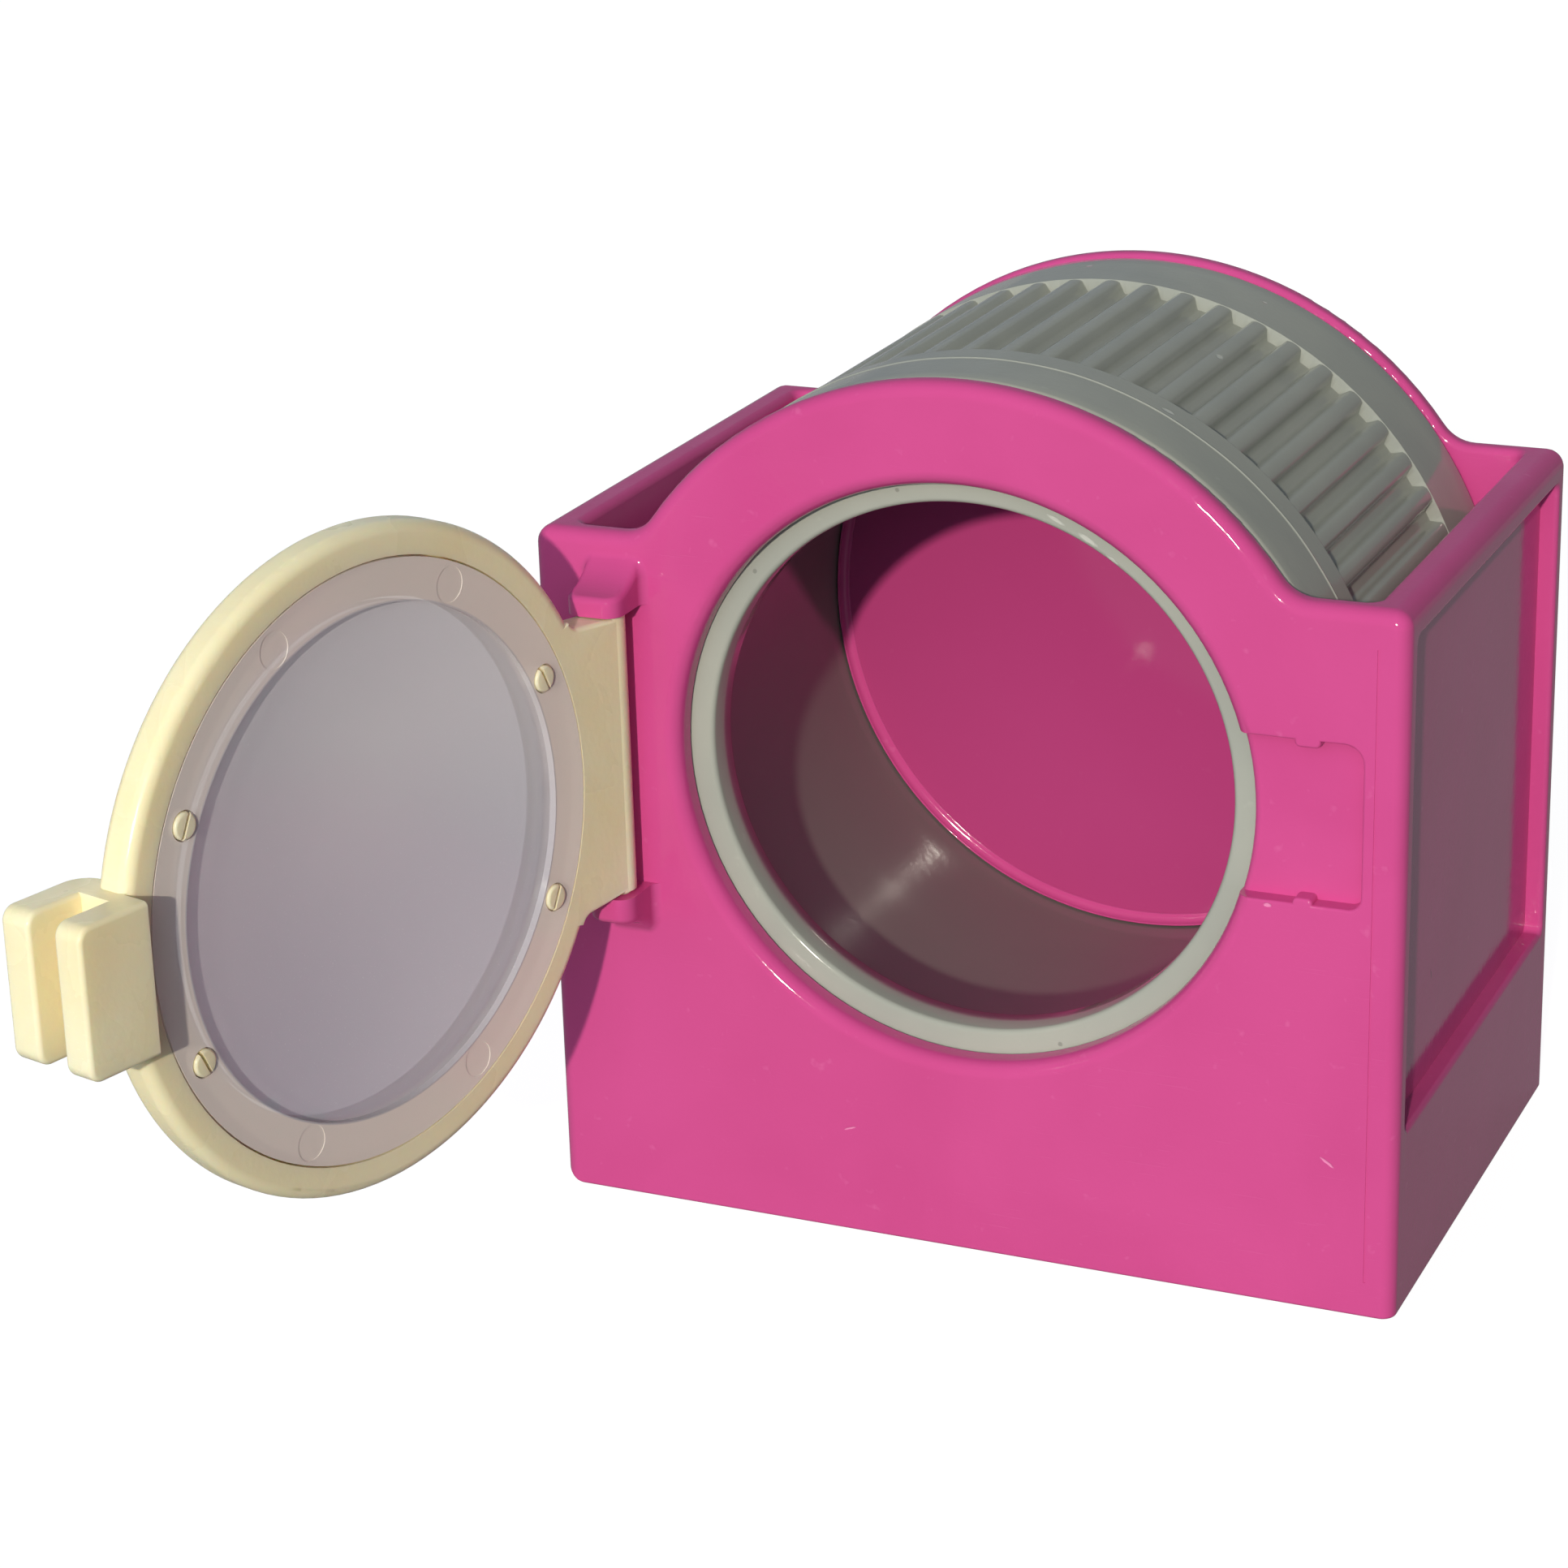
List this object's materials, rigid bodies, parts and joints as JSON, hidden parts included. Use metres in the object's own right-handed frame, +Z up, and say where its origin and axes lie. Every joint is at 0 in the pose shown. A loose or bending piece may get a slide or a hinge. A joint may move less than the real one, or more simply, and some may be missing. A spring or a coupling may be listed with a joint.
{
  "type": "toy washing machine",
  "caption": "Toy front-loading washing machine for brick play sets: arched open-sided housing, ribbed drum that spins on a rear hub, round hinged door with a clear window.",
  "frame": {"origin": "centre of the housing's three by two stud footprint, on the ground", "axes": "+Z up, front with the round opening toward -Y, +X to the viewer's right, away from the hinge"},
  "size_m": [0.0553, 0.0727, 0.048],
  "materials": {
    "housing_pink": "gloss",
    "drum_grey": "satin",
    "door_cream": "gloss",
    "window_clear": "clear, slightly smoky, lightly scuffed"
  },
  "bodies": {
    "housing": {"housing": "housing_pink"},
    "drum": {"drum": "drum_grey"},
    "door": {"door_frame": "door_cream", "door_window": "window_clear"}
  },
  "joints": [
    {"name": "drum_spin", "type": "hinge", "parent": "housing", "child": "drum", "pos_m": [0, 0, 0.0268], "axis": [0, -1, 0], "continuous": true},
    {"name": "door_hinge", "type": "hinge", "parent": "housing", "child": "door", "pos_m": [-0.0189, -0.01755, 0.0268], "axis": [0, 0, 1], "range_deg": [-71, 104]}
  ]
}
